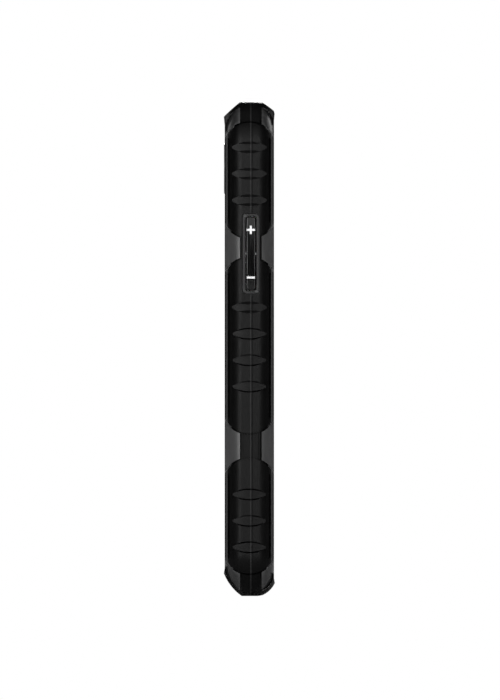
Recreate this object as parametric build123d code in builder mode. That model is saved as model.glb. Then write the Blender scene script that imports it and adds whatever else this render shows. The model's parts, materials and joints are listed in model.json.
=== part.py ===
"""Rugged phone case: soft sleeve, hard back shell and front frame, ribbed grips, keys and port flaps.

Millimetres. +Z runs along the phone, with z = 0 on the bottom end. The screen faces -Y.
-X is the side of the volume rocker. x = 0 is the middle of the width, y = 0 the middle of the depth.
"""
from build123d import *
from math import atan2, cos, sin, sqrt
import os

os.makedirs("parts", exist_ok=True)

# ---------------------------------------------------------------- driving dimensions

# The phone that the case is made for, and its clearance all round
phone_width = 72.5
phone_length = 142.0
phone_depth = 8.1
phone_corner = 9.5
phone_edge = 2.25
phone_fit = 0.15

# Layers, from the phone outwards
liner_depth = 0.45
sleeve_wall = 1.4
sleeve_back = 1.45
lip_depth = 1.2
shell_wall = 1.4
shell_back = 1.75
frame_front = 1.55
end_bumper = 1.55
bumper_rise = 0.25

# Screen window, through the lip and the front frame
window_side_cover = 3.4
window_end_cover = 4.6
window_corner = 6.0
window_bevel = 0.8

# Soft end caps, seen from the side: a flat, then a bowed slope up to the tip of an ear on each face
bottom_flat = 5.5
top_flat = 6.4
bottom_back_slope = 6.8
bottom_front_slope = 3.9
bottom_bow = 0.65
top_back_slope = 4.4
top_front_slope = 2.9
top_bow = 0.1
bottom_ear_hook = 1.5
top_ear_hook = 2.7
ear_middle = 24.0
cap_edge = 4.0

# Where the hard shells stop: an arc from the spine that ends tangent to each face of the case
spine_width = 6.5
shell_end_gap = 0.01
back_arc_height = 8.8
front_arc_height = 6.8

# Spine between the shells
spine_gap = 0.4
spine_bead = 0.45
spine_cap = 0.9
spine_recess = 0.6
seam_width = 0.34
seam_height = 0.15

# Grips along each side, from both ends of the case, and the ribs on them
grip_width = 14.6
grip_end_radius = 8.1
grip_shoulder = 1.6
grip_reach = 3.6
grip_gap = 0.4
grip_rim = 0.75
grip_rim_drop = 2.4
grip_rim_edge = 1.2
grip_groove_width = 0.7
grip_groove_depth = 0.45
grip_web = 0.5
grip_bottom_margin = 6.7
grip_top_margin = 6.2
end_grip_length = 34.55
lower_bridge = 7.5
upper_bridge = 6.0
rib_length = 11.3
rib_tall = 2.7
crested_rib_tall = 3.5
rib_crest = 1.8
rib_rise = 0.65
rib_shoulder = 0.55
rib_bow = 0.6
moat_width = 0.45
rib_pitch = 7.93
rib_tip = 0.45
lower_rib_margin = 7.9
middle_rib_margin = 14.85
upper_rib_margin = 7.4

# Keys: a bezel on each side, the rocker on the left and the power button on the right
key_drop = 45.5
bezel_side_wall = 1.05
bezel_end_wall = 0.9
bezel_corner = 1.3
bezel_rise = 0.5
bezel_edge = 0.4
bezel_inner_edge = 0.3
key_width = 2.8
key_gap = 0.2
key_rise = 0.75
key_float = 0.5
key_corner = 0.7
key_edge = 0.35
rocker_length = 22.0
power_length = 9.6
power_flange = 0.6
power_flange_depth = 0.5
pin_radius = 0.4
pin_clearance = 0.05
pin_seat = 0.65
pin_cover = 0.7
key_pad_depth = 0.9
key_pad_boss = 1.1
key_pad_boss_rise = 0.35
rocker_boss_offset = 8.0
mark_size = 2.5
mark_stroke = 0.6
mark_depth = 0.2
key_bow = 0.3
mark_rise = 0.03
mark_inset = 3.85

# Camera cut-out, measured from the phone's edge and from the top end
camera_inset = 16.75
camera_drop = 20.0
camera_length = 23.0
camera_height = 11.0
camera_ring_wall = 2.0
camera_ring_rise = 0.2
camera_ring_bevel = 0.6
liner_inset = 2.6
liner_corner = 7.0

# Port flaps on the ends
flap_depth = 4.2
flap_thickness = 1.1
flap_gap = 0.2
flap_inset = 0.1
flap_corner = 0.8
flap_stem_rise = 1.2
flap_stem_margin = 0.9
flap_relief = 2.0
charging_length = 14.0
charging_port = 11.0
headphone_length = 7.6
headphone_port = 5.2
headphone_side = -20.0
port_height = 3.4
notch_length = 3.0
notch_depth = 0.45

# Speaker slots beside the charging port
slot_count = 4
slot_pitch = 2.6
slot_width = 1.3
slot_height = 3.0
slot_start = 12.5

# Recessed panel on the back shell
panel_side_margin = 12.0
panel_bottom_margin = 20.0
panel_top_margin = 36.2
panel_corner = 5.0
panel_depth = 0.4
groove_count = 3
groove_pitch = 4.2
groove_width = 1.4
groove_length = 30.0
groove_depth = 0.5

# ---------------------------------------------------------------- derived layers

cavity_width = phone_width + 2 * phone_fit
cavity_length = phone_length + 2 * phone_fit
cavity_depth = phone_depth + 2 * phone_fit
cavity_corner = phone_corner + phone_fit
cavity_edge = phone_edge + phone_fit

core_width = cavity_width + 2 * sleeve_wall
core_length = cavity_length + 2 * sleeve_wall
core_corner = cavity_corner + sleeve_wall
core_edge = cavity_edge + sleeve_wall

shell_width = core_width + 2 * shell_wall
shell_corner = core_corner + shell_wall
shell_edge = core_edge + shell_wall
case_length = core_length + 2 * end_bumper
case_depth = frame_front + lip_depth + cavity_depth + liner_depth + sleeve_back + shell_back
mid_z = case_length / 2

front_y = -case_depth / 2
lip_y = front_y + frame_front
glass_y = lip_y + lip_depth
liner_y = glass_y + cavity_depth
tray_y = liner_y + liner_depth
plate_y = tray_y + sleeve_back
back_y = plate_y + shell_back
parting_y = glass_y + cavity_depth / 2

core_x = core_width / 2
shell_x = shell_width / 2
window_width = cavity_width - 2 * window_side_cover
window_length = cavity_length - 2 * window_end_cover
grip_inner_x = shell_x - grip_reach
beyond = 2.0

lower_grip = (grip_bottom_margin, grip_bottom_margin + end_grip_length)
upper_grip = (case_length - grip_top_margin - end_grip_length, case_length - grip_top_margin)
middle_grip = (lower_grip[1] + lower_bridge, upper_grip[0] - upper_bridge)
rib_starts = {
    "lower": lower_grip[0] + lower_rib_margin,
    "middle": middle_grip[1] - middle_rib_margin,
    "upper": upper_grip[1] - upper_rib_margin,
}
camera_side = phone_width / 2 - camera_inset
panel_low = panel_bottom_margin
panel_high = case_length - panel_top_margin

key_height = case_length - key_drop
flange_length = power_length + 2 * power_flange
bezel_width = key_width + 2 * key_gap + 2 * bezel_side_wall
volume_bezel_length = rocker_length + 2 * key_gap + 2 * bezel_end_wall
power_bezel_length = flange_length + 2 * key_gap + 2 * bezel_end_wall
key_inner_x = core_x + key_float
key_outer_x = shell_x + key_rise
bezel_outer_x = shell_x + bezel_rise
pin_x = key_outer_x - pin_cover - pin_radius

# ---------------------------------------------------------------- shared shapes


def face_plane(y):
    """Plane that looks out of the front of the case, at depth y, centred on the case's length."""
    return Plane(origin=(0, y, mid_z), x_dir=(1, 0, 0), z_dir=(0, -1, 0))


def side_plane(x):
    """Plane at x whose own x runs towards the back and whose own y runs up, centred on the parting line."""
    return Plane(origin=(x, parting_y, 0), x_dir=(0, 1, 0), z_dir=(1, 0, 0))


def pillow(rise, edge=shell_edge):
    """Block of the shells' outer form, grown outwards by rise on the sides, the front and the back."""
    return slab(shell_width + 2 * rise, case_length, shell_corner + rise,
                front_y - rise, back_y + rise, edge + rise)


def slab(width, length, corner, front, back, edge):
    """Block between the depths front and back, with rounded corners and rounded edges."""
    with BuildPart() as block:
        with BuildSketch(face_plane(back)):
            RectangleRounded(width, length, corner)
        extrude(amount=back - front)
        fillet(block.faces().sort_by(Axis.Y)[0].edges(), edge)
        fillet(block.faces().sort_by(Axis.Y)[-1].edges(), edge)
    return block.part


def core_block():
    """The sleeve's outer form where the shells and grips seat on it."""
    return slab(core_width, core_length, core_corner, lip_y, plate_y, core_edge)


def cavity_block():
    """Room for the phone and the liner behind it."""
    return slab(cavity_width, cavity_length, cavity_corner, glass_y, tray_y, cavity_edge)


def end_profile():
    """Prism across the whole width with the soft caps' outline as seen from the side."""
    low, high = front_y - bumper_rise, back_y + bumper_rise
    bottom_front, bottom_back = parting_y - bottom_flat / 2, parting_y + bottom_flat / 2
    top_front, top_back = parting_y - top_flat / 2, parting_y + top_flat / 2
    with BuildPart() as prism:
        with BuildSketch(Plane.YZ):
            with BuildLine():
                Line((bottom_front, 0), (bottom_back, 0))
                SagittaArc((bottom_back, 0), (high, bottom_back_slope), -bottom_bow)
                Polyline((high, bottom_back_slope), (back_y, bottom_back_slope + bottom_ear_hook),
                         (back_y, case_length - top_back_slope - top_ear_hook),
                         (high, case_length - top_back_slope))
                SagittaArc((high, case_length - top_back_slope), (top_back, case_length), -top_bow)
                Line((top_back, case_length), (top_front, case_length))
                SagittaArc((top_front, case_length), (low, case_length - top_front_slope), -top_bow)
                Polyline((low, case_length - top_front_slope),
                         (front_y, case_length - top_front_slope - top_ear_hook),
                         (front_y, bottom_front_slope + bottom_ear_hook), (low, bottom_front_slope))
                SagittaArc((low, bottom_front_slope), (bottom_front, 0), -bottom_bow)
            make_face()
        extrude(amount=shell_width, both=True)
    return prism.part


def shell_zone(direction, arc_height):
    """Prism that bounds a hard shell: the back one for direction 1, the front one for direction -1."""
    inner = parting_y + direction * spine_width / 2
    face = back_y if direction > 0 else front_y
    low = end_bumper + shell_end_gap
    rise = arc_height - low
    run = abs(face - inner)
    radius = (rise ** 2 + run ** 2) / (2 * run)
    half_turn = atan2(rise, radius - run) / 2
    middle = face - direction * radius * (1 - cos(half_turn))
    drop = radius * sin(half_turn)
    outside = face + direction * shell_wall
    with BuildPart() as zone:
        with BuildSketch(Plane.YZ):
            with BuildLine():
                Line((inner, case_length - low), (inner, low))
                ThreePointArc((inner, low), (middle, arc_height - drop), (face, arc_height))
                Polyline((face, arc_height), (outside, arc_height),
                         (outside, case_length - arc_height), (face, case_length - arc_height))
                ThreePointArc((face, case_length - arc_height), (middle, case_length - arc_height + drop),
                              (inner, case_length - low))
            make_face()
        extrude(amount=shell_width, both=True)
    return zone.part


def back_zone():
    return shell_zone(1, back_arc_height)


def front_zone():
    return shell_zone(-1, front_arc_height)


def grip_window(side, span, grow):
    """Column through one side wall with arched ends, grown by grow all round: side is -1 or 1."""
    low, high = span[0] - grow, span[1] + grow
    half = grip_width / 2 + grow
    radius = grip_end_radius + grow
    arch = radius - sqrt(radius ** 2 - half ** 2)
    middle_y = (front_y + back_y) / 2 - parting_y
    left, right = middle_y - half, middle_y + half
    with BuildPart() as column:
        with BuildSketch(side_plane(side * (grip_inner_x - grow))) as outline:
            with BuildLine():
                Line((left, low + arch), (left, high - arch))
                ThreePointArc((left, high - arch), (middle_y, high), (right, high - arch))
                Line((right, high - arch), (right, low + arch))
                ThreePointArc((right, low + arch), (middle_y, low), (left, low + arch))
            make_face()
            fillet(outline.vertices(), grip_shoulder)
        extrude(amount=side * (grip_reach + beyond + grow))
    return column.part


def grip_grooves(side, span):
    """Straight grooves inside the rim of a grip, one along each long edge."""
    arch = grip_end_radius - sqrt(grip_end_radius ** 2 - (grip_width / 2) ** 2)
    middle_y = (front_y + back_y) / 2 - parting_y
    offset = grip_width / 2 - grip_rim - grip_groove_width / 2
    with BuildPart() as grooves:
        with BuildSketch(side_plane(side * (grip_inner_x + grip_web))):
            with Locations((middle_y - offset, sum(span) / 2), (middle_y + offset, sum(span) / 2)):
                SlotOverall(span[1] - span[0] - 2 * arch, grip_groove_width, rotation=90)
        extrude(amount=side * (grip_reach + beyond))
        add(groove_floor, mode=Mode.SUBTRACT)
    return grooves.part


def rib_column(side, start_x, height, tip, tall, reach, slope=0):
    """Column with a rib's outline, two arcs that meet in blunt tips, that reaches outwards from start_x."""
    middle_y = (front_y + back_y) / 2 - parting_y
    with BuildPart() as column:
        with BuildSketch(side_plane(side * start_x)) as lens:
            with BuildLine():
                SagittaArc((middle_y - tip, height), (middle_y + tip, height), tall / 2)
                SagittaArc((middle_y + tip, height), (middle_y - tip, height), tall / 2)
            make_face()
            fillet(lens.vertices(), rib_tip)
        extrude(amount=side * reach, taper=slope)
    return column.part


def rib_block(side, height, tall):
    """Column with a rib's outline across a grip, from its inner face outwards past everything."""
    return rib_column(side, grip_inner_x, height, rib_length / 2, tall, grip_reach + beyond)


def rib_roof(side, height):
    """Prism across the case with sloped sides up to a narrow crest, for a crested rib."""
    half, crest = crested_rib_tall / 2, rib_crest / 2
    crest_x = shell_x + rib_rise
    eaves_x = crest_x - rib_shoulder
    with BuildPart() as prism:
        with BuildSketch(Plane.XZ):
            with BuildLine():
                Polyline((side * grip_inner_x, height - half), (side * eaves_x, height - half),
                         (side * crest_x, height - crest), (side * crest_x, height + crest),
                         (side * eaves_x, height + half), (side * grip_inner_x, height + half), close=True)
            make_face()
        extrude(amount=rib_length, both=True)
    return prism.part


def rib_crown(rise):
    """Prism along the case whose sides bow gently out, to rise above the shells in the middle."""
    half = rib_length / 2 + rib_tip
    edge_x = shell_x + rise - rib_bow
    with BuildPart() as prism:
        with BuildSketch(Plane.XY):
            with BuildLine():
                Line((-edge_x, -half), (edge_x, -half))
                ThreePointArc((edge_x, -half), (shell_x + rise, 0), (edge_x, half))
                Line((edge_x, half), (-edge_x, half))
                ThreePointArc((-edge_x, half), (-shell_x - rise, 0), (-edge_x, -half))
            make_face()
        extrude(amount=case_length)
    return prism.part


def seam_ridge(form):
    """Thin slice of a form at the parting line."""
    with BuildPart() as ridge:
        add(form)
        with BuildSketch(face_plane(parting_y)):
            Rectangle(2 * shell_width, 2 * case_length)
        extrude(amount=seam_width / 2, both=True, mode=Mode.INTERSECT)
    return ridge.part


def parting_slice(width, length):
    """Flat block about the parting line, as wide as the case and of the given depth along Y."""
    with BuildPart() as block:
        with BuildSketch(face_plane(parting_y)):
            Rectangle(2 * shell_width, length)
        extrude(amount=width / 2, both=True)
    return block.part


def bezel_column(side, length):
    """Outline of a key bezel, from the sleeve's wall outwards past everything."""
    with BuildPart() as column:
        with BuildSketch(side_plane(side * (core_x - sleeve_wall))):
            with Locations((0, key_height)):
                RectangleRounded(bezel_width, length, bezel_corner)
        extrude(amount=side * (sleeve_wall + shell_wall + beyond))
    return column.part


def key_window(side, length):
    """Passage for a key's pad through the sleeve's side wall."""
    with BuildPart() as passage:
        with BuildSketch(side_plane(side * (core_x - sleeve_wall - phone_edge))):
            with Locations((0, key_height)):
                RectangleRounded(key_width + 2 * key_gap, length + 2 * key_gap, key_corner + key_gap)
        extrude(amount=side * (sleeve_wall + phone_edge))
    return passage.part


def camera_column(front, back):
    """Camera opening between two depths."""
    with BuildPart() as column:
        with BuildSketch(face_plane(back)):
            with Locations((camera_side, mid_z - camera_drop)):
                SlotOverall(camera_length, camera_height)
        extrude(amount=back - front)
    return column.part


def finish(part, name):
    """Name the piece and write it."""
    part.label = name
    export_step(part, f"parts/{name}.step")
    return part


grip_spans = {"lower": lower_grip, "middle": middle_grip, "upper": upper_grip}
sides = {"left": -1, "right": 1}
bezel_lengths = {"left": volume_bezel_length, "right": power_bezel_length}
window_lengths = {"left": rocker_length, "right": power_length}

# ---------------------------------------------------------------- blocks that several pieces share

core = core_block()
cavity = cavity_block()
profile = end_profile()
shell_form = pillow(0)
cap_form = pillow(bumper_rise, cap_edge)
spine_floor = pillow(-spine_recess)
spine_seam = seam_ridge(pillow(seam_height - spine_recess))
cap_seam = seam_ridge(pillow(seam_height))
groove_floor = pillow(-grip_groove_depth)
rim_form = slab(shell_width - 2 * grip_rim_drop, case_length, shell_corner - grip_rim_drop,
                front_y, back_y, grip_rim_edge)
rib_form = rib_crown(rib_rise)
rib_seam = seam_ridge(rib_crown(rib_rise + seam_height))
back_prism = back_zone()
front_prism = front_zone()
grip_windows = [grip_window(side, span, grip_gap) for side in sides.values() for span in grip_spans.values()]
bezel_columns = {name: bezel_column(side, bezel_lengths[name]) for name, side in sides.items()}
key_windows = {name: key_window(side, window_lengths[name]) for name, side in sides.items()}
camera_opening = camera_column(liner_y - cavity_edge, back_y + bumper_rise)

# ---------------------------------------------------------------- ports and their flaps


def end_plane(inward, depth):
    """Plane parallel to an end face, at a depth below it: inward is 1 at the bottom end, -1 at the top."""
    end_z = 0 if inward > 0 else case_length
    return Plane(origin=(0, parting_y, end_z + inward * depth), x_dir=(inward, 0, 0), z_dir=(0, 0, inward))


hinge_y = flap_depth / 2 - flap_thickness / 2
hinge_z = flap_inset + flap_thickness / 2
recess_depth = flap_inset + flap_thickness + flap_gap
end_wall = sleeve_wall + end_bumper


def port_cut(inward, centre, length, port):
    """Everything cut from the sleeve for one port: seat of the flap, port, hinge relief and nail notch."""
    seat_depth = flap_depth + 2 * flap_gap
    with BuildPart() as cut:
        with BuildSketch(end_plane(inward, 0)):
            with Locations((inward * centre, 0)):
                RectangleRounded(length + 2 * flap_gap, seat_depth, flap_corner)
            with Locations((inward * centre, seat_depth / 4)):
                Rectangle(length + 2 * flap_gap, seat_depth / 2)
            with Locations((inward * centre, -seat_depth / 2)):
                RectangleRounded(notch_length, 2 * notch_depth, notch_depth / 2)
        extrude(amount=recess_depth)
        with BuildSketch(end_plane(inward, 0)):
            with Locations((inward * centre, seat_depth / 2)):
                Rectangle(length + 2 * flap_gap, flap_relief)
        extrude(amount=hinge_z)
        with BuildSketch(end_plane(inward, 0)):
            with Locations((inward * centre, 0)):
                SlotOverall(port, port_height)
        extrude(amount=end_wall + cavity_edge)
    return cut.part


def port_flap(inward, centre, length, port):
    """Soft flap with a rounded hinge edge at the back and a plug that stops the port."""
    plate_depth = hinge_y + flap_depth / 2
    with BuildPart() as flap:
        with BuildSketch(end_plane(inward, flap_inset)):
            with Locations((inward * centre, hinge_y - plate_depth / 2)):
                Rectangle(length, plate_depth)
        extrude(amount=flap_thickness)
        fillet(flap.edges().filter_by(Axis.Z).group_by(Axis.Y)[0], flap_corner)
        with Locations((centre, parting_y + hinge_y, end_plane(inward, hinge_z).origin.Z)):
            Cylinder(flap_thickness / 2, length, rotation=(0, 90, 0))
        with BuildSketch(end_plane(inward, flap_inset + flap_thickness)):
            with Locations((inward * centre, 0)):
                SlotOverall(port - 2 * flap_stem_margin, port_height - 2 * flap_stem_margin)
        extrude(amount=flap_stem_rise)
    return flap.part


charging_cut = port_cut(1, 0, charging_length, charging_port)
headphone_cut = port_cut(-1, headphone_side, headphone_length, headphone_port)

# ---------------------------------------------------------------- sleeve

spine_block = parting_slice(spine_width, 2 * case_length)
spine_ridge_width = spine_width - 2 * spine_gap
spine_channel = parting_slice(spine_ridge_width - 2 * spine_bead, case_length - 2 * spine_cap)

with BuildPart() as spine_gaps:
    add(parting_slice(spine_width, core_length - 2 * core_edge))
    add(parting_slice(spine_ridge_width, case_length), mode=Mode.SUBTRACT)

with BuildPart() as end_caps:
    add(cap_form)
    for face, way in ((back_y, -1), (front_y, 1)):
        with BuildSketch(face_plane(face)):
            Rectangle(2 * ear_middle, 2 * case_length)
        extrude(amount=way * 2 * bumper_rise, mode=Mode.SUBTRACT)
    add(back_prism, mode=Mode.SUBTRACT)
    add(front_prism, mode=Mode.SUBTRACT)
    add(spine_block, mode=Mode.SUBTRACT)

with BuildPart() as channel:
    add(spine_channel)
    add(spine_floor, mode=Mode.SUBTRACT)

with BuildPart() as sleeve:
    add(shell_form)
    add(spine_block, mode=Mode.INTERSECT)
    add(spine_gaps.part, mode=Mode.SUBTRACT)
    add(channel.part, mode=Mode.SUBTRACT)
    add(spine_seam)
    add(end_caps.part)
    add(profile, mode=Mode.INTERSECT)
    for window in grip_windows:
        add(window, mode=Mode.SUBTRACT)
    for column in bezel_columns.values():
        add(column, mode=Mode.SUBTRACT)
    add(core)
    add(cavity, mode=Mode.SUBTRACT)
    for passage in key_windows.values():
        add(passage, mode=Mode.SUBTRACT)
    with BuildSketch(face_plane(glass_y + cavity_edge)):
        RectangleRounded(window_width, window_length, window_corner)
    extrude(amount=cavity_edge + lip_depth + frame_front, mode=Mode.SUBTRACT)
    add(camera_opening, mode=Mode.SUBTRACT)
    add(charging_cut, mode=Mode.SUBTRACT)
    add(headphone_cut, mode=Mode.SUBTRACT)
    for side in sides.values():
        for step in range(slot_count):
            with BuildSketch(end_plane(1, 0)):
                with Locations((side * (slot_start + step * slot_pitch), 0)):
                    SlotOverall(slot_height, slot_width, rotation=90)
            extrude(amount=end_wall + cavity_edge, mode=Mode.SUBTRACT)
finish(sleeve.part, "sleeve")

# ---------------------------------------------------------------- hard shells

with BuildPart() as back_shell:
    add(shell_form)
    add(back_prism, mode=Mode.INTERSECT)
    add(core, mode=Mode.SUBTRACT)
    for window in grip_windows:
        add(window, mode=Mode.SUBTRACT)
    with BuildSketch(face_plane(back_y + bumper_rise)):
        with Locations((camera_side, mid_z - camera_drop)):
            SlotOverall(camera_length + 2 * camera_ring_wall, camera_height + 2 * camera_ring_wall)
    extrude(amount=shell_back + cavity_edge, mode=Mode.SUBTRACT)
    with BuildSketch(face_plane(back_y)):
        with Locations((0, (panel_low + panel_high) / 2 - mid_z)):
            RectangleRounded(2 * (grip_inner_x - panel_side_margin), panel_high - panel_low, panel_corner)
    extrude(amount=panel_depth, mode=Mode.SUBTRACT)
    for step in range(groove_count):
        with BuildSketch(face_plane(back_y - panel_depth)):
            with Locations((0, panel_low + panel_corner + (step + 0.5) * groove_pitch - mid_z)):
                SlotOverall(groove_length, groove_width)
        extrude(amount=groove_depth, mode=Mode.SUBTRACT)
finish(back_shell.part, "back_shell")

with BuildPart() as front_frame:
    add(shell_form)
    add(front_prism, mode=Mode.INTERSECT)
    add(core, mode=Mode.SUBTRACT)
    for window in grip_windows:
        add(window, mode=Mode.SUBTRACT)
    with BuildSketch(face_plane(lip_y)):
        RectangleRounded(window_width, window_length, window_corner)
    extrude(amount=frame_front, mode=Mode.SUBTRACT)
    with BuildSketch(face_plane(front_y)):
        RectangleRounded(window_width + 2 * window_bevel, window_length + 2 * window_bevel,
                         window_corner + window_bevel)
    extrude(amount=-window_bevel, taper=45, mode=Mode.SUBTRACT)
finish(front_frame.part, "front_frame")

# ---------------------------------------------------------------- camera ring and liner

with BuildPart() as camera_ring:
    with BuildSketch(face_plane(back_y + camera_ring_rise)):
        with Locations((camera_side, mid_z - camera_drop)):
            SlotOverall(camera_length + 2 * camera_ring_wall, camera_height + 2 * camera_ring_wall)
            SlotOverall(camera_length, camera_height, mode=Mode.SUBTRACT)
    extrude(amount=shell_back + camera_ring_rise)
    rim = camera_ring.faces().sort_by(Axis.Y)[-1]
    chamfer(rim.inner_wires()[0].edges(), camera_ring_bevel)
finish(camera_ring.part, "camera_ring")

with BuildPart() as back_liner:
    with BuildSketch(face_plane(tray_y)):
        RectangleRounded(cavity_width - 2 * liner_inset, cavity_length - 2 * liner_inset, liner_corner)
    extrude(amount=liner_depth)
    add(camera_opening, mode=Mode.SUBTRACT)
finish(back_liner.part, "back_liner")

# ---------------------------------------------------------------- grips


def rib_places(name):
    """Height of each rib of a grip, and whether it is one of the upper ribs, which have a narrow crest."""
    start = rib_starts[name]
    if name == "lower":
        return [(start + step * rib_pitch, False) for step in range(3)]
    if name == "upper":
        return [(start - step * rib_pitch, True) for step in range(3)]
    return [(start - step * rib_pitch, step == 0) for step in range(4)]


def rib(side, height, crested):
    """One rib: a flat lens-shaped pad, or for a crested rib a taller lens with sides sloped up to a crest."""
    with BuildPart() as lens:
        add(rib_block(side, height, crested_rib_tall if crested else rib_tall))
        add(rib_form, mode=Mode.INTERSECT)
        if crested:
            add(rib_roof(side, height), mode=Mode.INTERSECT)
    return lens.part


def rib_moat(side, height):
    """Groove with a sloped side round a flat rib, down to the rib's foot."""
    tip = rib_length / 2 + moat_width
    tall = rib_tall + 2 * moat_width
    with BuildPart() as moat:
        add(rib_column(side, shell_x, height, tip, tall, -moat_width, slope=45))
        add(rib_column(side, shell_x, height, tip, tall, beyond))
    return moat.part


def rib_seams(side, heights):
    """The parting line's ridge where it crosses the ribs."""
    with BuildPart() as seams:
        for height in heights:
            add(rib_block(side, height, rib_crest))
        add(rib_seam, mode=Mode.INTERSECT)
    return seams.part


def grip(side, name):
    """Ribbed grip: it wraps one side wall of the sleeve and fills a window of the hard shells."""
    span = grip_spans[name]
    places = rib_places(name)
    with BuildPart() as pad:
        add(shell_form)
        add(cap_seam)
        add(rim_form)
        add(grip_window(side, span, 0), mode=Mode.INTERSECT)
        add(grip_grooves(side, span), mode=Mode.SUBTRACT)
        for height, crested in places:
            if not crested:
                add(rib_moat(side, height), mode=Mode.SUBTRACT)
            add(rib(side, height, crested))
        add(rib_seams(side, [height for height, crested in places]))
        add(core, mode=Mode.SUBTRACT)
        add(bezel_columns["left" if side < 0 else "right"], mode=Mode.SUBTRACT)
    return pad.part


for side_name, side in sides.items():
    for name in grip_spans:
        finish(grip(side, name), f"grip_{side_name}_{name}")

# ---------------------------------------------------------------- volume keys

volume_side = sides["left"]

with BuildPart() as volume_bezel:
    add(bezel_columns["left"])
    add(core, mode=Mode.SUBTRACT)
    with BuildSketch(side_plane(volume_side * bezel_outer_x)):
        Rectangle(2 * bezel_width, 2 * case_length)
    extrude(amount=volume_side * beyond, mode=Mode.SUBTRACT)
    outer_face = volume_bezel.faces().sort_by(Axis.X)[0]
    fillet(outer_face.edges(), bezel_edge)
    with BuildSketch(side_plane(volume_side * (core_x - sleeve_wall))):
        with Locations((0, key_height)):
            RectangleRounded(key_width + 2 * key_gap, rocker_length + 2 * key_gap, key_corner + key_gap)
    extrude(amount=volume_side * (sleeve_wall + shell_wall + beyond), mode=Mode.SUBTRACT)
    fillet(volume_bezel.faces().sort_by(Axis.X)[0].inner_wires()[0].edges(), bezel_inner_edge)
    with Locations((volume_side * pin_x, parting_y, key_height)):
        Cylinder(pin_radius, key_width + 2 * key_gap + 2 * pin_seat, rotation=(90, 0, 0), mode=Mode.SUBTRACT)
finish(volume_bezel.part, "volume_bezel")

with BuildPart() as volume_pivot_pin:
    with Locations((volume_side * pin_x, parting_y, key_height)):
        Cylinder(pin_radius, key_width + 2 * key_gap + 2 * pin_seat, rotation=(90, 0, 0))
finish(volume_pivot_pin.part, "volume_pivot_pin")


def rocker_crown(rise):
    """Block over the rocker whose outer face bows along the key, raised by rise."""
    half = rocker_length / 2
    outer_x = key_outer_x + rise
    with BuildPart() as block:
        with BuildSketch(Plane.XZ):
            with BuildLine():
                Polyline((volume_side * (outer_x - key_bow), key_height + half), (0, key_height + half),
                         (0, key_height - half), (volume_side * (outer_x - key_bow), key_height - half))
                ThreePointArc((volume_side * (outer_x - key_bow), key_height - half),
                              (volume_side * outer_x, key_height),
                              (volume_side * (outer_x - key_bow), key_height + half))
            make_face()
        extrude(amount=key_width, both=True)
    return block.part


def key_mark(centre, upright):
    """Inlaid mark on the rocker: a bar across it, and an upright bar as well for a plus."""
    with BuildPart() as mark:
        with BuildSketch(side_plane(volume_side * (key_outer_x - key_bow - mark_depth))):
            with Locations((0, centre)):
                Rectangle(mark_size, mark_stroke)
                if upright:
                    Rectangle(mark_stroke, mark_size)
        extrude(amount=volume_side * (key_bow + mark_depth + beyond))
        add(rocker_crown(mark_rise), mode=Mode.INTERSECT)
    return mark.part


mark_offset = rocker_length / 2 - mark_inset
plus_mark = finish(key_mark(key_height + mark_offset, True), "plus_mark")
minus_mark = finish(key_mark(key_height - mark_offset, False), "minus_mark")

with BuildPart() as volume_rocker:
    with BuildSketch(side_plane(volume_side * key_inner_x)):
        with Locations((0, key_height)):
            RectangleRounded(key_width, rocker_length, key_corner)
    extrude(amount=volume_side * (key_outer_x - key_inner_x))
    add(rocker_crown(0), mode=Mode.INTERSECT)
    fillet(volume_rocker.faces().sort_by(Axis.X)[0].edges(), key_edge)
    with Locations((volume_side * pin_x, parting_y, key_height)):
        Cylinder(pin_radius + pin_clearance, 2 * key_width, rotation=(90, 0, 0), mode=Mode.SUBTRACT)
    add(plus_mark, mode=Mode.SUBTRACT)
    add(minus_mark, mode=Mode.SUBTRACT)
finish(volume_rocker.part, "volume_rocker")


def key_pad(side, length, bosses):
    """Silicone pad in the sleeve's wall, with a boss under each place that is pressed."""
    with BuildPart() as pad:
        with BuildSketch(side_plane(side * (core_x - sleeve_wall))):
            with Locations((0, key_height)):
                RectangleRounded(key_width + 2 * key_gap, length + 2 * key_gap, key_corner + key_gap)
        extrude(amount=side * key_pad_depth)
        with BuildSketch(side_plane(side * (core_x - sleeve_wall + key_pad_depth))):
            with Locations(*[(0, key_height + offset) for offset in bosses]):
                Circle(key_pad_boss)
        extrude(amount=side * key_pad_boss_rise)
    return pad.part


finish(key_pad(volume_side, rocker_length, (-rocker_boss_offset, rocker_boss_offset)), "volume_key_pad")

# ---------------------------------------------------------------- power key

power_side = sides["right"]

with BuildPart() as power_bezel:
    add(bezel_columns["right"])
    add(core, mode=Mode.SUBTRACT)
    with BuildSketch(side_plane(power_side * bezel_outer_x)):
        Rectangle(2 * bezel_width, 2 * case_length)
    extrude(amount=power_side * beyond, mode=Mode.SUBTRACT)
    fillet(power_bezel.faces().sort_by(Axis.X)[-1].edges(), bezel_edge)
    with BuildSketch(side_plane(power_side * (core_x - sleeve_wall))):
        with Locations((0, key_height)):
            RectangleRounded(key_width + 2 * key_gap, power_length + 2 * key_gap, key_corner + key_gap)
    extrude(amount=power_side * (sleeve_wall + shell_wall + beyond), mode=Mode.SUBTRACT)
    fillet(power_bezel.faces().sort_by(Axis.X)[-1].inner_wires()[0].edges(), bezel_inner_edge)
    with BuildSketch(side_plane(power_side * (core_x - sleeve_wall))):
        with Locations((0, key_height)):
            RectangleRounded(key_width + 2 * key_gap, flange_length + 2 * key_gap, key_corner + key_gap)
    extrude(amount=power_side * (sleeve_wall + key_float + power_flange_depth + key_gap), mode=Mode.SUBTRACT)
finish(power_bezel.part, "power_bezel")

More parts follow.
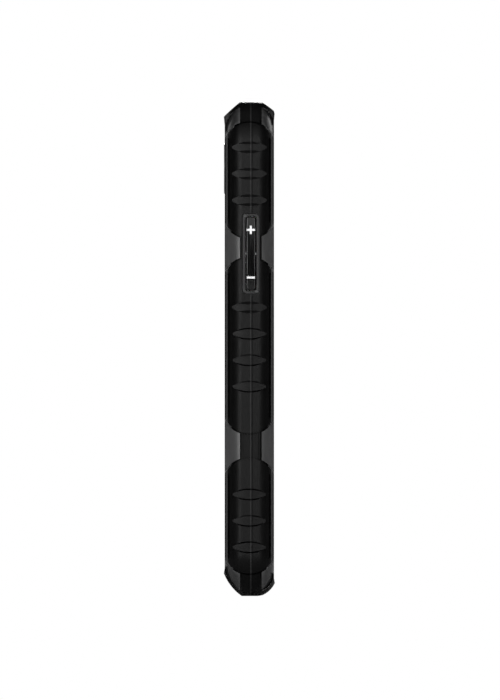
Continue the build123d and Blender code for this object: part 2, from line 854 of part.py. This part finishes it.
with BuildPart() as power_button:
    with BuildSketch(side_plane(power_side * key_inner_x)):
        with Locations((0, key_height)):
            RectangleRounded(key_width, power_length, key_corner)
    extrude(amount=power_side * (key_outer_x - key_inner_x))
    fillet(power_button.faces().sort_by(Axis.X)[-1].edges(), key_edge)
    with BuildSketch(side_plane(power_side * key_inner_x)):
        with Locations((0, key_height)):
            RectangleRounded(key_width, flange_length, key_corner)
    extrude(amount=power_side * power_flange_depth)
finish(power_button.part, "power_button")
finish(key_pad(power_side, power_length, (0,)), "power_key_pad")

# ---------------------------------------------------------------- port flaps

finish(port_flap(1, 0, charging_length, charging_port), "charging_flap")
finish(port_flap(-1, headphone_side, headphone_length, headphone_port), "headphone_flap")
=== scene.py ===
"""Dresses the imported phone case: moulded plastics and rubbers, studio light and a side-on camera."""
import json
import math

import bpy
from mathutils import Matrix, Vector


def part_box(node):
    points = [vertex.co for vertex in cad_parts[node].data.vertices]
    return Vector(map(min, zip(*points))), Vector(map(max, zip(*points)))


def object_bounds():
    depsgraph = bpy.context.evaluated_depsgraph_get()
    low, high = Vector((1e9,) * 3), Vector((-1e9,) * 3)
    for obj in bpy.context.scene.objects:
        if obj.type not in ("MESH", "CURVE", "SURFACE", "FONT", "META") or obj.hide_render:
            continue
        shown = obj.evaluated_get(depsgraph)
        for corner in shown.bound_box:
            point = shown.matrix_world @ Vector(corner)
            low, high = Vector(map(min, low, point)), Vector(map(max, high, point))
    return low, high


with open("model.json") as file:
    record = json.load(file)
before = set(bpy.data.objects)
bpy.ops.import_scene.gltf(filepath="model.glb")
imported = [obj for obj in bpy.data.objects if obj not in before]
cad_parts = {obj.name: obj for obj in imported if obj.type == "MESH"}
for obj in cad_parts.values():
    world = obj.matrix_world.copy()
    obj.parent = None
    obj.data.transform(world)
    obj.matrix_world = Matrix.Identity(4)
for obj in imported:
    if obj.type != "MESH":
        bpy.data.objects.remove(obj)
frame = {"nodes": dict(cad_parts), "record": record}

cad_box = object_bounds()
nodes = frame["nodes"]
MM = 0.001

# ---------------------------------------------------------------- material tools

COLOUR_A, COLOUR_B, COLOUR_OUT = 6, 7, 2      # a Mix node's sockets for colours
VALUE_A, VALUE_B, VALUE_OUT = 2, 3, 0         # and for plain values
NO_INNER_EDGE = -1.0                          # lets a band run through its own middle


def combine(tree, operation, *values):
    """Result of a math node. Each input is a number or a socket."""
    node = tree.nodes.new("ShaderNodeMath")
    node.operation = operation
    for socket, value in zip(node.inputs, values):
        if isinstance(value, (int, float)):
            socket.default_value = value
        else:
            tree.links.new(value, socket)
    return node.outputs[0]


class Surface:
    """A node material under construction: a Principled shader and helpers that wire noise into it."""

    def __init__(self, name):
        self.material = bpy.data.materials.new(name)
        self.material.use_nodes = True
        self.tree = self.material.node_tree
        self.shader = self.tree.nodes["Principled BSDF"]
        self.place = self.add("ShaderNodeTexCoord").outputs["Object"]
        self.normal = None

    def add(self, kind, **values):
        node = self.tree.nodes.new(kind)
        for name, value in values.items():
            setattr(node, name, value)
        return node

    def link(self, source, target):
        self.tree.links.new(source, target)

    def set(self, **values):
        """Plain numbers on the shader's own sockets, named with underscores for spaces."""
        for name, value in values.items():
            self.shader.inputs[name.replace("_", " ")].default_value = value

    def noise(self, size, detail=3.0, roughness=0.5, stretch=(1, 1, 1)):
        """Noise whose features are about size metres across, stretched along the axes."""
        mapping = self.add("ShaderNodeMapping")
        mapping.inputs["Scale"].default_value = [1 / (size * s) for s in stretch]
        self.link(self.place, mapping.inputs["Vector"])
        texture = self.add("ShaderNodeTexNoise")
        texture.inputs["Scale"].default_value = 1.0
        texture.inputs["Detail"].default_value = detail
        texture.inputs["Roughness"].default_value = roughness
        self.link(mapping.outputs["Vector"], texture.inputs["Vector"])
        return texture.outputs["Fac"]

    def cells(self, size):
        """Small round cells, for a spark-eroded mould texture."""
        texture = self.add("ShaderNodeTexVoronoi", feature="SMOOTH_F1")
        texture.inputs["Scale"].default_value = 1 / size
        self.link(self.place, texture.inputs["Vector"])
        return texture.outputs["Distance"]

    def spread(self, factor, low, high, start=0.3, end=0.7):
        """Map a factor between start and end to values between low and high."""
        ramp = self.add("ShaderNodeMapRange")
        for name, value in (("From Min", start), ("From Max", end), ("To Min", low), ("To Max", high)):
            ramp.inputs[name].default_value = value
        self.link(factor, ramp.inputs["Value"])
        return ramp.outputs["Result"]

    def mix(self, factor, first, second):
        """Mix of two colours, each a tuple or a socket."""
        node = self.add("ShaderNodeMix", data_type="RGBA")
        self.link(factor, node.inputs["Factor"])
        for socket, value in ((COLOUR_A, first), (COLOUR_B, second)):
            if isinstance(value, tuple):
                node.inputs[socket].default_value = (*value, 1)
            else:
                self.link(value, node.inputs[socket])
        return node.outputs[COLOUR_OUT]

    def colour(self, socket):
        self.link(socket, self.shader.inputs["Base Color"])

    def roughness(self, socket):
        self.link(socket, self.shader.inputs["Roughness"])

    def bump(self, height, distance, strength=1.0):
        """Add relief of the given depth in metres on top of what is there."""
        node = self.add("ShaderNodeBump")
        node.inputs["Distance"].default_value = distance
        node.inputs["Strength"].default_value = strength
        self.link(height, node.inputs["Height"])
        if self.normal is not None:
            self.link(self.normal, node.inputs["Normal"])
        self.normal = node.outputs["Normal"]
        self.link(self.normal, self.shader.inputs["Normal"])

    def band(self, axis, inner, outer, about=0.0, soft=0.05 * MM):
        """1 where a point's distance from about, along an axis, is between inner and outer."""
        axes = self.add("ShaderNodeSeparateXYZ")
        self.link(self.place, axes.inputs[0])
        offset = combine(self.tree, "SUBTRACT", axes.outputs[axis], about)
        distance = combine(self.tree, "ABSOLUTE", offset)
        past_inner = self.spread(distance, 0, 1, inner - soft, inner + soft)
        within_outer = self.spread(distance, 1, 0, outer - soft, outer + soft)
        return combine(self.tree, "MULTIPLY", past_inner, within_outer)

    def blend_value(self, factor, first, second):
        """Mix of a socket and a number."""
        node = self.add("ShaderNodeMix")
        self.link(factor, node.inputs["Factor"])
        self.link(first, node.inputs[VALUE_A])
        node.inputs[VALUE_B].default_value = second
        return node.outputs[VALUE_OUT]

    def edge_wear_and_painted_highlight(self):
        """How convex the surface is: 0 on flats, towards 1 on rounded edges. It paints edges paler, partly
        as wear and partly as painted highlight.
        """
        geometry = self.add("ShaderNodeNewGeometry")
        return self.spread(geometry.outputs["Pointiness"], 0, 1, start=0.52, end=0.6)


def grey(value):
    """A neutral linear grey."""
    return (value, value, value * 1.01)


# ---------------------------------------------------------------- materials

SEAM_HALF = 0.17 * MM         # half the width of the mould's parting line
key_low, key_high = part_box("volume_rocker")
parting = (key_low.y + key_high.y) / 2


def moulded_rubber(name, base, sheen_rough, rim=None):
    """Matte black moulded rubber: fine grain, a parting line painted paler as a highlight with dull grime
    beside it, a rim painted paler as a highlight.
    """
    surface = Surface(name)
    cloud = surface.noise(9 * MM, detail=4)
    grain = surface.noise(0.16 * MM, detail=2)
    colour = surface.mix(surface.spread(cloud, 0, 1), grey(base * 0.8), grey(base * 1.3))
    roughness = surface.spread(surface.noise(2.5 * MM), sheen_rough - 0.03, sheen_rough + 0.04)
    # painted highlight: the parting line is coloured paler, where light would catch its ridge
    painted_seam_highlight = surface.band("Y", NO_INNER_EDGE, SEAM_HALF, about=parting)
    colour = surface.mix(painted_seam_highlight, colour, grey(base + 0.02))
    grime = surface.band("Y", NO_INNER_EDGE, SEAM_HALF, about=parting - 2 * SEAM_HALF)
    roughness = surface.blend_value(grime, roughness, 0.75)
    if rim:
        # painted highlight: a paler band along the grip's rim, where its bead would catch the light
        painted_rim_highlight = surface.band("Y", *rim)
        colour = surface.mix(painted_rim_highlight, colour, grey(base + 0.04))
    surface.colour(colour)
    surface.roughness(roughness)
    surface.set(Specular_IOR_Level=0.09)
    surface.bump(grain, 0.012 * MM, 0.3)
    return surface.material


def hard_shell():
    """Dark grey polycarbonate with a fine spark texture and slightly paler edges, partly wear and partly
    painted highlight.
    """
    surface = Surface("hard_shell")
    cloud = surface.noise(14 * MM, detail=3)
    body = surface.mix(surface.spread(cloud, 0, 1), grey(0.014), grey(0.018))
    # paler edges: partly wear, partly painted highlight
    surface.colour(surface.mix(surface.edge_wear_and_painted_highlight(), body, grey(0.045)))
    surface.roughness(surface.spread(surface.noise(1.8 * MM), 0.32, 0.38))
    surface.set(Specular_IOR_Level=0.5)
    surface.bump(surface.cells(0.14 * MM), 0.006 * MM, 0.3)
    surface.bump(surface.noise(0.5 * MM), 0.01 * MM, 0.3)
    return surface.material


def bezel_plastic():
    """Satin grey plastic, painted bright along its crest, partly as wear and partly as a painted highlight.
    """
    surface = Surface("bezel_plastic")
    # bright crest: partly wear, partly painted highlight
    surface.colour(surface.mix(surface.edge_wear_and_painted_highlight(), grey(0.012), grey(0.04)))
    surface.roughness(surface.spread(surface.noise(0.8 * MM), 0.34, 0.42))
    surface.set(Specular_IOR_Level=0.2)
    surface.bump(surface.noise(0.12 * MM, detail=2), 0.008 * MM, 0.3)
    return surface.material


def gloss_key():
    """Polished black plastic with hairline marks that only show in the highlights."""
    surface = Surface("gloss_key")
    surface.colour(surface.mix(surface.spread(surface.noise(3 * MM), 0, 1), grey(0.001), grey(0.002)))
    surface.roughness(surface.spread(surface.noise(0.25 * MM, stretch=(1, 1, 14)), 0.08, 0.16))
    surface.set(Specular_IOR_Level=0.3)
    surface.bump(surface.noise(1.6 * MM), 0.004 * MM, 0.25)
    return surface.material


def white_inlay():
    """White pad-printed plastic with a faint orange-peel surface."""
    surface = Surface("white_inlay")
    surface.colour(surface.mix(surface.spread(surface.noise(0.4 * MM), 0, 1), grey(0.8), grey(0.88)))
    surface.roughness(surface.spread(surface.noise(0.2 * MM), 0.4, 0.5))
    surface.bump(surface.noise(0.1 * MM), 0.004 * MM, 0.3)
    return surface.material


def ground_steel():
    """Fine ground steel of the rocker's pin."""
    surface = Surface("ground_steel")
    lines = surface.noise(0.05 * MM, stretch=(1, 20, 1))
    surface.colour(surface.mix(surface.spread(lines, 0, 1), grey(0.45), grey(0.6)))
    surface.roughness(surface.spread(lines, 0.25, 0.4))
    surface.set(Metallic=1.0)
    surface.bump(lines, 0.004 * MM, 0.4)
    return surface.material


def silicone():
    """Cloudy grey silicone of the key pads."""
    surface = Surface("silicone")
    surface.colour(surface.mix(surface.spread(surface.noise(1.5 * MM), 0, 1), grey(0.2), grey(0.28)))
    surface.roughness(surface.spread(surface.noise(0.6 * MM), 0.45, 0.6))
    surface.set(Subsurface_Weight=0.1, Subsurface_Scale=0.5 * MM)
    surface.bump(surface.noise(0.1 * MM), 0.01 * MM, 0.3)
    return surface.material


def ring_plastic():
    """Semi-gloss black plastic of the camera ring, with paler edges that are partly wear and partly painted
    highlight.
    """
    surface = Surface("ring_plastic")
    # paler edges: partly wear, partly painted highlight
    surface.colour(surface.mix(surface.edge_wear_and_painted_highlight(), grey(0.012), grey(0.05)))
    surface.roughness(surface.spread(surface.noise(1.2 * MM), 0.2, 0.3))
    surface.set(Coat_Weight=0.3, Coat_Roughness=0.15)
    surface.bump(surface.noise(0.3 * MM), 0.006 * MM, 0.3)
    return surface.material


def felt():
    """Short-pile grey felt: matted fibres, cloudy colour and a soft sheen."""
    surface = Surface("felt")
    fibres = surface.noise(0.22 * MM, detail=6, roughness=0.7)
    clumps = surface.noise(2.2 * MM, detail=3)
    body = surface.mix(surface.spread(clumps, 0, 1), grey(0.035), grey(0.06))
    surface.colour(surface.mix(surface.spread(fibres, 0, 1, start=0.4, end=0.65), body, grey(0.1)))
    surface.roughness(surface.spread(fibres, 0.85, 1.0))
    surface.set(Sheen_Weight=0.5, Sheen_Roughness=0.5)
    surface.bump(fibres, 0.08 * MM, 0.7)
    surface.bump(clumps, 0.06 * MM, 0.4)
    return surface.material


grip_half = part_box("grip_left_middle")[1].y
grip_rim = (grip_half - 0.8 * MM, grip_half - 0.25 * MM)

finishes = {
    "soft_black": moulded_rubber("soft_black", 0.0015, 0.44),
    "grip_rubber": moulded_rubber("grip_rubber", 0.0018, 0.38, rim=grip_rim),
    "hard_grey": hard_shell(),
    "bezel_grey": bezel_plastic(),
    "key_gloss": gloss_key(),
    "mark_white": white_inlay(),
    "pin_steel": ground_steel(),
    "pad_silicone": silicone(),
    "ring_black": ring_plastic(),
    "felt_grey": felt(),
}

# ---------------------------------------------------------------- CAD nodes: finish and softened edges

BEVEL_WIDTHS = {"soft_black": 0.1, "grip_rubber": 0.12, "hard_grey": 0.12, "ring_black": 0.08}    # in mm
SHARP_ANGLE = 32              # edges sharper than this, in degrees, get the bevel
slots = {entry["node"]: entry["material_slot"] for entry in frame["record"]["subparts"]}


def dress(node, slot):
    """Give a CAD node its finish and smooth shading, and some finishes a small bevel on sharp edges."""
    mesh = node.data
    mesh.materials.clear()
    mesh.materials.append(finishes[slot])
    mesh.polygons.foreach_set("use_smooth", [True] * len(mesh.polygons))
    if slot in BEVEL_WIDTHS:
        bevel = node.modifiers.new("edge_radius", "BEVEL")
        bevel.width = BEVEL_WIDTHS[slot] * MM
        bevel.segments = 2
        bevel.limit_method = "ANGLE"
        bevel.angle_limit = math.radians(SHARP_ANGLE)
    normals = node.modifiers.new("weighted_normals", "WEIGHTED_NORMAL")
    normals.keep_sharp = True


for name, node in nodes.items():
    dress(node, slots[name])

# ---------------------------------------------------------------- floor, light and camera

low, high = cad_box
centre = (low + high) / 2

AMBIENT = 0.02                # even light from all round
WHITE = (1, 1, 1, 1)
BACKDROP = (0.985, 1.0)       # how far towards +X the white backdrop starts, and is full
FLOOR_LIFT = 0.6              # brings the lit floor up to white, and leaves its shadow
FLOOR_SIZE = 8                # in metres, as the fade and the camera's values are
FLOOR_FADE = (0.25, 0.6)      # how far out the floor starts to turn plain white, and has turned

# Azimuth and elevation in degrees, distance, width and height in metres, and the level at which a white
# surface that faces the lamp renders. Azimuth 270 is the volume side.
LAMPS = {
    "volume_side_left": (256, 2, 1.0, (0.16, 0.6), 0.5),
    "volume_side_right": (284, 2, 1.0, (0.16, 0.6), 0.28),
    "volume_side_top": (268, 27, 1.0, (0.8, 0.8), 0.36),
    "power_side_box": (90, 15, 0.6, (0.1, 0.1), 0.5),
    "screen_box": (30, 25, 1.0, (0.4, 0.5), 0.22),
    "back_box": (150, 25, 1.0, (0.4, 0.5), 0.22),
    "top_box": (270, 80, 1.2, (0.8, 0.8), 0.09),
}

PICTURE_HEIGHT = 0.210        # height of the picture at the object
EYE_HEIGHT = 0.0738           # height of the picture's middle
EYE_SHIFT = -0.0002           # how far along Y the picture's middle is from the case's middle
EYE_DISTANCE = 1.5            # from the case's side to the camera
EYE_RANGE = (0.1, 20)         # how near and how far the camera sees


def ray_light(tree, *kinds):
    """1 for the given kinds of ray, otherwise 0."""
    path = tree.nodes.new("ShaderNodeLightPath")
    total = path.outputs[kinds[0]]
    for kind in kinds[1:]:
        total = combine(tree, "MAXIMUM", total, path.outputs[kind])
    return total


def smooth_step(tree, value, ends):
    """0 below the first end, 1 above the second, and a smooth rise between them."""
    ramp = tree.nodes.new("ShaderNodeMapRange")
    ramp.interpolation_type = "SMOOTHSTEP"
    ramp.inputs["From Min"].default_value, ramp.inputs["From Max"].default_value = ends
    tree.links.new(value, ramp.inputs["Value"])
    return ramp.outputs["Result"]


def blend_shaders(tree, factor, first, second):
    """Shader that goes from the first to the second as the factor goes from 0 to 1."""
    node = tree.nodes.new("ShaderNodeMixShader")
    for socket, value in zip(node.inputs, (factor, first, second)):
        tree.links.new(value, socket)
    return node.outputs[0]


def white_world():
    """White to the camera. Reflections see white towards +X, behind the case, and dim grey elsewhere."""
    world = bpy.data.worlds.new("studio")
    world.use_nodes = True
    bpy.context.scene.world = world
    tree = world.node_tree
    background = tree.nodes["Background"]
    direction = tree.nodes.new("ShaderNodeTexCoord").outputs["Generated"]
    axes = tree.nodes.new("ShaderNodeSeparateXYZ")
    tree.links.new(direction, axes.inputs[0])
    backdrop = smooth_step(tree, axes.outputs["X"], BACKDROP)
    reflected = combine(tree, "MULTIPLY", ray_light(tree, "Is Glossy Ray", "Is Transmission Ray"), backdrop)
    shown = combine(tree, "MAXIMUM", ray_light(tree, "Is Camera Ray"), reflected)
    strength = tree.nodes.new("ShaderNodeMapRange")
    strength.inputs["To Min"].default_value = AMBIENT
    strength.inputs["To Max"].default_value = 1.0
    tree.links.new(shown, strength.inputs["Value"])
    tree.links.new(strength.outputs["Result"], background.inputs["Strength"])
    background.inputs["Color"].default_value = WHITE


def floor_material():
    """White where it is lit, with the object's shadow on it, plain white far out and clear from below."""
    material = bpy.data.materials.new("studio_floor")
    material.use_nodes = True
    tree = material.node_tree
    lit = tree.nodes["Principled BSDF"]
    lit.inputs["Base Color"].default_value = (0.8, 0.8, 0.8, 1)
    lit.inputs["Roughness"].default_value = 0.9
    lit.inputs["Specular IOR Level"].default_value = 0.1
    lit.inputs["Emission Color"].default_value = WHITE
    seen = ray_light(tree, "Is Camera Ray", "Is Transmission Ray")
    tree.links.new(combine(tree, "MULTIPLY", seen, FLOOR_LIFT), lit.inputs["Emission Strength"])

    geometry = tree.nodes.new("ShaderNodeNewGeometry")
    reach = tree.nodes.new("ShaderNodeVectorMath")
    reach.operation = "LENGTH"
    tree.links.new(geometry.outputs["Position"], reach.inputs[0])
    far_out = combine(tree, "MULTIPLY", seen, smooth_step(tree, reach.outputs["Value"], FLOOR_FADE))
    plain_white = tree.nodes.new("ShaderNodeEmission")
    plain_white.inputs["Strength"].default_value = 1.0
    from_above = blend_shaders(tree, far_out, lit.outputs[0], plain_white.outputs[0])

    below = combine(tree, "MULTIPLY", ray_light(tree, "Is Camera Ray"), geometry.outputs["Backfacing"])
    clear = tree.nodes.new("ShaderNodeBsdfTransparent")
    surface = blend_shaders(tree, below, from_above, clear.outputs[0])
    tree.links.new(surface, tree.nodes["Material Output"].inputs["Surface"])
    return material


def studio_floor():
    """Large floor that the case stands on."""
    bpy.ops.mesh.primitive_plane_add(size=FLOOR_SIZE, location=(0, 0, 0))
    floor = bpy.context.object
    floor.name = "studio_floor"
    floor.data.materials.append(floor_material())


def soft_box(name, azimuth, elevation, distance, size, level):
    """Rectangular lamp aimed at the middle of the case. Reflections show it, and the camera doesn't."""
    lamp = bpy.data.lights.new(name, "AREA")
    lamp.shape = "RECTANGLE"
    lamp.size, lamp.size_y = size
    lamp.energy = level * math.pi ** 2 * distance ** 2
    holder = bpy.data.objects.new(name, lamp)
    bpy.context.scene.collection.objects.link(holder)
    turn, tilt = math.radians(azimuth), math.radians(elevation)
    away = Vector((math.sin(turn) * math.cos(tilt), -math.cos(turn) * math.cos(tilt), math.sin(tilt)))
    holder.visible_camera = False
    holder.location = centre + away * distance
    holder.rotation_euler = (-away).to_track_quat("-Z", "Y").to_euler()


def side_camera():
    """Camera square to the volume side, with parallel rays."""
    data = bpy.data.cameras.new("side_camera")
    data.type = "ORTHO"
    data.ortho_scale = PICTURE_HEIGHT
    data.clip_start, data.clip_end = EYE_RANGE
    camera = bpy.data.objects.new("side_camera", data)
    bpy.context.scene.collection.objects.link(camera)
    camera.location = (low.x - EYE_DISTANCE, centre.y + EYE_SHIFT, EYE_HEIGHT)
    camera.rotation_euler = (math.radians(90), 0, math.radians(-90))
    bpy.context.scene.camera = camera


studio_floor()
white_world()
for lamp_name, settings in LAMPS.items():
    soft_box(lamp_name, *settings)
side_camera()
bpy.context.scene.view_settings.view_transform = "Standard"
